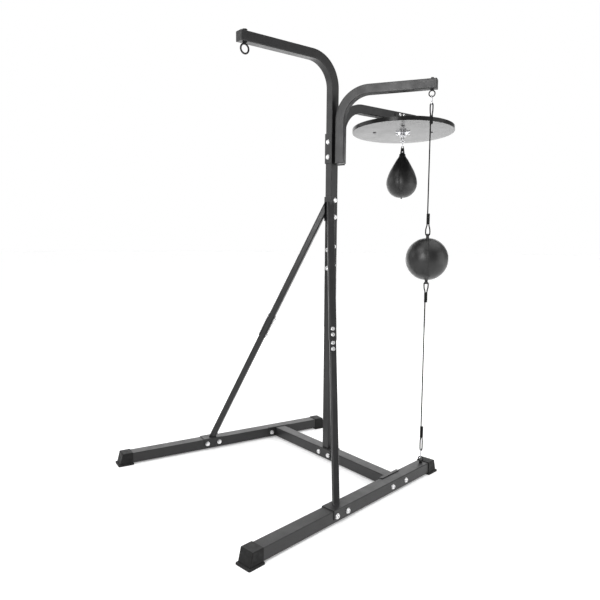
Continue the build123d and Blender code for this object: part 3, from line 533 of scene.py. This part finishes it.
class Shell:
    """A leather shell of revolution sewn from panels along meridians."""

    def __init__(self, centre, profile, seams, first_seam, bulge):
        self.centre = Vector(centre)
        self.profile = profile
        self.seams = seams
        self.first = first_seam
        self.bulge = bulge
        self.lengths = [0.0]
        for (r0, z0), (r1, z1) in zip(profile, profile[1:]):
            self.lengths.append(self.lengths[-1] + math.hypot(r1 - r0, z1 - z0))

    def at(self, s):
        for i in range(1, len(self.lengths)):
            if s <= self.lengths[i] or i == len(self.lengths) - 1:
                t = (s - self.lengths[i - 1]) / max(self.lengths[i] - self.lengths[i - 1], 1e-9)
                (r0, z0), (r1, z1) = self.profile[i - 1], self.profile[i]
                slope = Vector((r1 - r0, z1 - z0)).normalized()
                return r0 + (r1 - r0) * t, z0 + (z1 - z0) * t, slope

    def point(self, s, angle, lift=0.0):
        r, z, slope = self.at(s)
        gap = math.tau / self.seams
        off = (angle - self.first + gap / 2) % gap - gap / 2
        d = abs(off) * r
        edge = min(1.0, r / 0.02)
        relief = -0.0010 * hump(d, 0.0, 0.0009) + 0.0005 * hump(d, 0.0027, 0.0016)
        relief += 0.00018 * math.sin(s / 0.0042 * math.tau) * hump(d, 0.0045, 0.003)
        crown = self.bulge * (math.sin(math.pi * abs(off) / gap) ** 0.8) * r
        wave = 0.0003 * math.sin(9.0 * angle + 31.0 * s) * math.sin(47.0 * s + 2.0 * angle)
        total = (relief + wave) * edge + crown + lift
        normal = Vector((slope.y, -slope.x))
        rr = r + normal.x * total
        zz = z + normal.y * total
        return self.centre + Vector((rr * math.cos(angle), rr * math.sin(angle), zz))

    def normal(self, s, angle):
        slope = self.at(s)[2]
        return Vector((slope.y * math.cos(angle), slope.y * math.sin(angle), -slope.x))

    def mesh(self, rings):
        gap = 360.0 / self.seams
        half = [0, 0.3, 0.6, 0.9, 1.25, 1.7, 2.3, 3.1, 4.2, 5.8, 8, 11, 15, 20, 26, 33, 40]
        half = [h for h in half if h < gap / 2 - 2] + [gap / 2]
        offsets = half + [gap - h for h in reversed(half[1:-1])]
        angles = []
        for k in range(self.seams):
            angles += [self.first + math.radians(k * gap + o) for o in offsets]
        total = self.lengths[-1]
        verts = []
        n = len(angles)
        for i in range(1, rings):
            s = total * i / rings
            verts += [self.point(s, a) for a in angles]
        faces = tube_sides(rings - 1, n)
        low = len(verts)
        verts.append(self.centre + Vector((0, 0, self.profile[0][1])))
        verts.append(self.centre + Vector((0, 0, self.profile[-1][1])))
        for j in range(n):
            k = (j + 1) % n
            faces.append((low, k, j))
            faces.append((low + 1, (rings - 2) * n + j, (rings - 2) * n + k))
        return verts, faces

    def stitches(self, offset, pitch, start, stop):
        verts = []
        faces = []
        count = int((stop - start) / pitch)
        for k in range(self.seams):
            seam = self.first + math.tau * k / self.seams
            for side in (-1, 1):
                for i in range(count):
                    s0 = start + i * pitch
                    s1 = s0 + pitch * 0.68
                    ends = []
                    for s in (s0, s1):
                        r = max(self.at(s)[0], 0.006)
                        angle = seam + side * offset / r
                        ends.append(self.point(s, angle, 0.00015))
                    angle = seam + side * offset / max(self.at(s0)[0], 0.006)
                    capsule(verts, faces, ends[0], ends[1], self.normal(s0, angle), 0.0005)
        return verts, faces


def smooth_line(points, steps):
    """Catmull-Rom line through 2-D points."""
    ends = [points[0]] + points + [points[-1]]
    found = []
    for i in range(1, len(ends) - 2):
        p0, p1, p2, p3 = (Vector(ends[i + k]) for k in (-1, 0, 1, 2))
        for j in range(steps):
            t = j / steps
            v = 0.5 * ((2 * p1) + (p2 - p0) * t + (2 * p0 - 5 * p1 + 4 * p2 - p3) * t * t
                       + (3 * p1 - p0 - 3 * p2 + p3) * t * t * t)
            found.append(v)
    found.append(Vector(points[-1]))
    return found


def make_speed_bag(looks):
    centre = (BAG_AXIS.x, BAG_AXIS.y, 0)
    line = smooth_line([(r / 1000, z / 1000) for r, z in BAG_OUTLINE], 6)
    profile = [(max(p.x, 0.0), p.y) for p in line]
    bag = Shell(centre, profile, 4, math.radians(-58), 0.014)
    verts, faces = bag.mesh(150)
    skin = mesh_piece("speed_bag_leather", verts, faces, looks["bag_leather"], "bag", "bag_leather")
    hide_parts("bag_shell")
    verts, faces = bag.stitches(0.0046, 0.0042, 0.028, bag.lengths[-1] - 0.036)
    mesh_piece("speed_bag_stitches", verts, faces, looks["thread"], "bag", "bag_leather")


def make_ball(looks):
    radius = (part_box("ball_shell")[1].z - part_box("ball_shell")[0].z) / 2
    profile = []
    for i in range(97):
        a = -math.pi / 2 + math.pi * i / 96
        r = radius * 0.993
        profile.append((max(r * math.cos(a), 0.0), r * math.sin(a)))
    ball = Shell(BALL, profile, 4, math.radians(-46.7), 0.010)
    verts, faces = ball.mesh(170)
    skin = mesh_piece("ball_leather_panels", verts, faces, looks["ball_leather"], "ball", "ball_leather")
    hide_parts("ball_shell")
    verts, faces = ball.stitches(0.0048, 0.0046, 0.026, ball.lengths[-1] - 0.026)
    mesh_piece("ball_stitches", verts, faces, looks["thread"], "ball", "ball_leather")


class Strap:
    """A leather strap: a band of that width and thickness along a line in a local plane."""

    def __init__(self, base, along, line, width, thick):
        self.base = Vector(base)
        self.wide = Vector(along)
        self.side = Vector((-self.wide.y, self.wide.x, 0))
        self.line = [Vector(p) for p in smooth_line(line, 7)]
        self.width = width
        self.thick = thick
        self.lengths = [0.0]
        for a, b in zip(self.line, self.line[1:]):
            self.lengths.append(self.lengths[-1] + (b - a).length)

    def at(self, s):
        for i in range(1, len(self.lengths)):
            if s <= self.lengths[i] or i == len(self.lengths) - 1:
                a, b = self.line[i - 1], self.line[i]
                t = (s - self.lengths[i - 1]) / (self.lengths[i] - self.lengths[i - 1])
                return a.lerp(b, t), (b - a).normalized()

    def place(self, s, across, lift):
        """Point at length s, across the width, lifted off the middle of the thickness."""
        p, slope = self.at(s)
        out = Vector((slope.y, -slope.x))
        q = p + out * lift
        return self.base + self.side * q.x + Vector((0, 0, q.y)) + self.wide * across

    def outward(self, s):
        slope = self.at(s)[1]
        return self.side * slope.y + Vector((0, 0, -slope.x))

    def mesh(self):
        w, t = self.width / 2, self.thick / 2
        section = []
        for k in range(9):
            across = -w + 0.0006 + (2 * w - 0.0012) * k / 8
            crown = 0.00025 * (1 - (across / w) ** 2) - 0.00018 * hump(abs(across), w - 0.0022, 0.0005)
            section.append((across, t + crown))
        section += [(w - 0.0001, t * 0.55), (w - 0.0003, 0), (w - 0.0001, -t * 0.55)]
        section += [(a, -b) for a, b in reversed(section[:9])]
        section += [(-w + 0.0001, -t * 0.55), (-w + 0.0003, 0), (-w + 0.0001, t * 0.55)]
        n = len(section)
        verts = []
        steps = int(self.lengths[-1] / 0.0007)
        for i in range(steps + 1):
            s = self.lengths[-1] * i / steps
            wave = 0.00008 * math.sin(s * 2600) + 0.00006 * math.sin(s * 1130 + 1)
            verts += [self.place(s, a, b + wave * (1 if b > 0 else -1)) for a, b in section]
        return verts, tube_faces(steps + 1, n)

    def cross_row(self, verts, faces, s):
        """A stitch row across the strap."""
        count = int((self.width - 0.005) / 0.0026)
        for k in range(count):
            x0 = -self.width / 2 + 0.0025 + k * 0.0026
            a = self.place(s, x0, self.thick / 2 + 0.0001)
            b = self.place(s, x0 + 0.0019, self.thick / 2 + 0.0001)
            capsule(verts, faces, a, b, self.outward(s), 0.00038)

    def stitches(self, verts, faces, start, stop, pitch=0.0028, inset=0.0022):
        for i in range(int((stop - start) / pitch)):
            s0 = start + i * pitch
            s1 = s0 + pitch * 0.7
            for across in (-self.width / 2 + inset, self.width / 2 - inset):
                a = self.place(s0, across, self.thick / 2 + 0.00008)
                b = self.place(s1, across, self.thick / 2 + 0.00008)
                capsule(verts, faces, a, b, self.outward(s0), 0.00038)


def make_ball_lugs(looks):
    radius = (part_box("ball_shell")[1].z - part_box("ball_shell")[0].z) / 2
    along = Vector((math.cos(SIDE_TURN), math.sin(SIDE_TURN), 0))
    half = [(0.0072, -0.0004), (0.0052, 0.0014), (0.0026, 0.0036)]
    half += [(0.0014, 0.0062), (0.0017, 0.0088), (0.0036, 0.0108)]
    arc = []
    for k in range(13):
        a = math.radians(-35 + 250 * k / 12)
        arc.append((0.00535 * math.cos(a), 0.0145 + 0.00535 * math.sin(a)))
    line = half + arc[1:-1] + [(-y, z) for y, z in reversed(half)]
    seams = ([], [])
    for flip, name in ((1, "ball_lug_top"), (-1, "ball_lug_bottom")):
        base = Vector((BALL.x, BALL.y, BALL.z + flip * (radius - 0.0012)))
        strap = Strap(base, along, [(flip * y, flip * z) for y, z in line], 0.0138, 0.0022)
        verts, faces = strap.mesh()
        piece = mesh_piece(name, verts, faces, looks["ball_leather"], "ball", "ball_leather")
        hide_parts("ball_lugs")
        total = strap.lengths[-1]
        strap.stitches(*seams, 0.001, 0.013)
        strap.stitches(*seams, total - 0.013, total - 0.001)
        row = total * 0.13
        strap.cross_row(*seams, row)
        strap.cross_row(*seams, total - row)
    mesh_piece("ball_lug_stitches", *seams, looks["thread"], "ball", "ball_leather")


def softened(name, node, voxel, amplitude, material, body):
    """A worked-leather piece: the node's form remeshed, its edges rounded and its surface made uneven."""
    work = bpy.data.objects.new(name + "_work", nodes[node].data.copy())
    bpy.context.scene.collection.objects.link(work)
    remesh = work.modifiers.new("remesh", "REMESH")
    remesh.mode = "VOXEL"
    remesh.voxel_size = voxel
    soften = work.modifiers.new("soften", "SMOOTH")
    soften.factor = 0.5
    soften.iterations = 5
    bpy.context.view_layer.update()
    seen = work.evaluated_get(bpy.context.evaluated_depsgraph_get())
    shape = bpy.data.meshes.new_from_object(seen)
    bpy.data.objects.remove(work)
    for vertex in shape.vertices:
        p, n = vertex.co, vertex.normal
        swell = math.sin(p.x * 900 + p.z * 610) * math.sin(p.y * 830 - p.z * 480)
        vertex.co = p + n * (0.0002 + amplitude * swell)
    for face in shape.polygons:
        face.use_smooth = True
    shape.materials.clear()
    shape.materials.append(material)
    piece = bpy.data.objects.new(name, shape)
    bpy.context.scene.collection.objects.link(piece)
    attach(piece, body)
    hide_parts(node)
    return piece


def make_bag_tab(looks):
    """Leather tab of the speed bag, two plies sewn round the edge, on a pleated collar."""
    strap = looks["strap_leather"]
    softened("bag_tab_leather", "bag_tab", 0.0006, 0.00008, strap, "bag")
    softened("bag_collar_leather", "bag_collar", 0.0007, 0.0001, strap, "bag")
    low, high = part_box("bag_tab")
    wide = Vector((math.cos(BAG_TURN), math.sin(BAG_TURN), 0))
    out = Vector((-wide.y, wide.x, 0))
    centre = Vector(((low.x + high.x) / 2, (low.y + high.y) / 2, 0))
    eye = high.z - 0.0075
    verts = []
    faces = []
    edge = [(-0.0104, low.z + 0.001), (-0.0058, eye - 0.001)]
    for k in range(9):
        a = math.radians(180 - 180 * k / 8)
        edge.append((0.0061 * math.cos(a), eye + 0.0061 * math.sin(a)))
    edge += [(0.0058, eye - 0.001), (0.0104, low.z + 0.001)]
    for (x0, z0), (x1, z1) in zip(edge, edge[1:]):
        run = math.hypot(x1 - x0, z1 - z0)
        count = max(1, round(run / 0.0027))
        for k in range(count):
            for side in (-1, 1):
                ends = []
                for t in ((k + 0.12) / count, (k + 0.88) / count):
                    x, z = x0 + (x1 - x0) * t, z0 + (z1 - z0) * t
                    ends.append(centre + wide * x + out * (side * 0.0026) + Vector((0, 0, z)))
                capsule(verts, faces, ends[0], ends[1], out * side, 0.0004)
    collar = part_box("bag_collar")
    ring = (collar[1].x - collar[0].x) / 2 - 0.0002
    count = 36
    for k in range(count):
        ends = []
        for t in (k + 0.15, k + 0.8):
            a = math.tau * t / count
            ends.append(centre + Vector((ring * math.cos(a), ring * math.sin(a), collar[0].z + 0.0024)))
        a = math.tau * (k + 0.5) / count
        capsule(verts, faces, ends[0], ends[1], Vector((math.cos(a), math.sin(a), 0)), 0.00042)
    mesh_piece("bag_tab_stitches", verts, faces, looks["thread"], "bag", "bag_leather")


# ---------------------------------------------------------------- cords

def route_points(points):
    """Points along the smooth line that a NURBS spline draws through the route's control points."""
    data = bpy.data.curves.new("route", "CURVE")
    data.dimensions = "3D"
    data.resolution_u = 24
    spline = data.splines.new("NURBS")
    spline.points.add(len(points) - 1)
    for target, p in zip(spline.points, points):
        target.co = (*p, 1)
    spline.order_u = 3
    spline.use_endpoint_u = True
    obj = bpy.data.objects.new("route", data)
    bpy.context.scene.collection.objects.link(obj)
    bpy.context.view_layer.update()
    mesh = bpy.data.meshes.new_from_object(obj)
    line = [v.co.copy() for v in mesh.vertices]
    bpy.data.objects.remove(obj)
    bpy.data.meshes.remove(mesh)
    return line


def dense_line(points):
    """The same line with a point at least every 2 mm."""
    line = [points[0]]
    for p in points[1:]:
        start = line[-1]
        if (p - start).length > 0.0005:
            steps = max(1, int((p - start).length / 0.002))
            line += [start.lerp(p, (k + 1) / steps) for k in range(steps)]
    return line


def make_cord(name, xz, body, node, material):
    """Braided cord along a route in the double-end line's plane: (sideways, height) in millimetres."""
    along = Vector((math.cos(SIDE_TURN), math.sin(SIDE_TURN), 0))
    across = Vector((-along.y, along.x, 0))
    base = Vector((BALL.x, BALL.y, 0))
    route = [base + along * (x / 1000) + Vector((0, 0, z / 1000)) for x, z in xz]
    line = dense_line(route_points(route))
    sides = 16
    verts = []
    faces = []
    uvs = []
    travelled = [0.0]
    for a, b in zip(line, line[1:]):
        travelled.append(travelled[-1] + (b - a).length)
    for i, p in enumerate(line):
        tangent = (line[min(i + 1, len(line) - 1)] - line[max(i - 1, 0)]).normalized()
        other = tangent.cross(across).normalized()
        for j in range(sides):
            angle = math.tau * j / sides
            spoke = across * (CORD_RADIUS * math.cos(angle)) + other * (CORD_RADIUS * math.sin(angle))
            verts.append(p + spoke)
    for i in range(len(line) - 1):
        for j in range(sides):
            k = (j + 1) % sides
            faces.append((i * sides + j, (i + 1) * sides + j, (i + 1) * sides + k, i * sides + k))
            v0, v1 = travelled[i] / BRAID_PITCH, travelled[i + 1] / BRAID_PITCH
            u0, u1 = j / sides, (j + 1) / sides
            uvs += [(u0, v0), (u0, v1), (u1, v1), (u1, v0)]
    end = (len(line) - 1) * sides
    faces.append(tuple(reversed(range(sides))))
    faces.append(tuple(end + j for j in range(sides)))
    uvs += [(0, 0)] * (2 * sides)
    cord = mesh_piece(name, verts, faces, material, body, "braided_cord", uvs)
    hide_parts(node)


def make_cords(looks):
    s = STRAND
    hang = TOP_EYE - HOOK_REACH + HOOK_NIP
    seat = LOW_EYE + HOOK_REACH - HOOK_NIP
    lug_top = BALL.z * 1000 + LUG_ROOT + LUG_HOLE
    lug_low = BALL.z * 1000 - LUG_ROOT - LUG_HOLE
    braid_look = looks["braided_cord"]
    upper = [(s, 1697), (s, 1737), (5.8, 1752), (6.4, 1772), (6.1, hang), (0, hang + 0.4)]
    upper += [(-6.1, hang), (-6.4, 1772), (-5.8, 1752), (-s, 1737), (-s, 1700)]
    upper += [(-s, 1272), (-s, 1233), (-8.6, 1216), (-10.2, 1202), (-9.4, lug_top)]
    upper += [(0, lug_top - 0.2), (9.4, lug_top), (10.2, 1202), (8.6, 1216), (s, 1233), (s, 1285)]
    make_cord("upper_cord_braid", upper, "ball", "upper_cord", braid_look)
    loop = [(s, 878), (s, 909), (8.6, 928), (10.2, 945), (9.4, lug_low), (0, lug_low + 0.2)]
    loop += [(-9.4, lug_low), (-10.2, 945), (-8.6, 928), (-s, 909), (-s, 893)]
    make_cord("ball_loop_braid", loop, "ball", "ball_loop", braid_look)
    gripped = [(-s, 889), (-s, 883), (-s, 877)]
    make_cord("ball_loop_end_braid", gripped, "ball", "ball_loop", braid_look)
    lower = [(-s, 875.1), (-s, 840), (-s, 230), (-s, 187), (-5.0, 175), (-5.3, 155)]
    lower += [(-5.0, seat), (0, seat - 0.4), (5.0, seat), (5.3, 155), (5.0, 175), (s, 187), (s, 245)]
    make_cord("lower_cord_braid", lower, "lower_cord", "lower_cord", braid_look)


make_camera()
make_studio()
looks = dress_frame()
make_speed_bag(looks)
make_ball(looks)
make_ball_lugs(looks)
make_bag_tab(looks)
make_cords(looks)

bpy.context.scene.view_settings.view_transform = "Standard"
